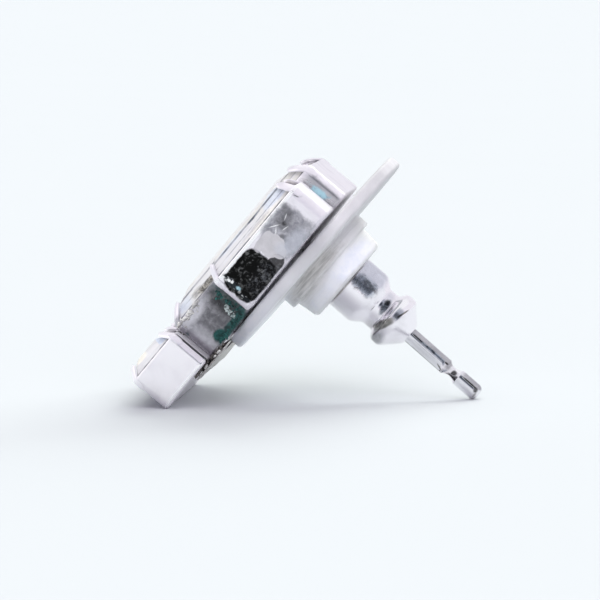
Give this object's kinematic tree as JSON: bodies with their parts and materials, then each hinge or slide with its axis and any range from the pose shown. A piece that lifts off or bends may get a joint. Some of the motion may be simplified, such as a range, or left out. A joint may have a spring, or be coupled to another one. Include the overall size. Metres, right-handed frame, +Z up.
{
  "type": "rhinestone stud earring",
  "caption": "Stud earring: step-cut clear stones in soldered metal cups on a notched straight post, with a sliding comfort clutch of clear plastic and metal.",
  "frame": {"origin": "middle of the earring's box on the floor it lies on", "axes": "+Z up, +X from the front of the head towards the post's tip, Y across the head"},
  "size_m": [0.0166, 0.016, 0.0118],
  "materials": {
    "plated_metal": "bright plating, tarnished and green at the soldered joints",
    "stone_glass": "clear faceted glass with a foiled back",
    "clear_plastic": "clear moulded plastic, dull and streaky with wear",
    "clutch_metal": "bright turned and plated metal"
  },
  "bodies": {
    "head": {"setting": "plated_metal", "centre_stone": "stone_glass", "side_stone_left": "stone_glass", "side_stone_right": "stone_glass", "row_stone_1": "stone_glass", "row_stone_2": "stone_glass", "row_stone_3": "stone_glass", "row_stone_4": "stone_glass"},
    "clutch": {"clutch_disc": "clear_plastic", "clutch_barrel": "clutch_metal"}
  },
  "joints": [
    {"name": "clutch_slide", "type": "slide", "parent": "head", "child": "clutch", "axis": [0.7552, 0, -0.6555], "range_m": [0, 0.0111]}
  ]
}
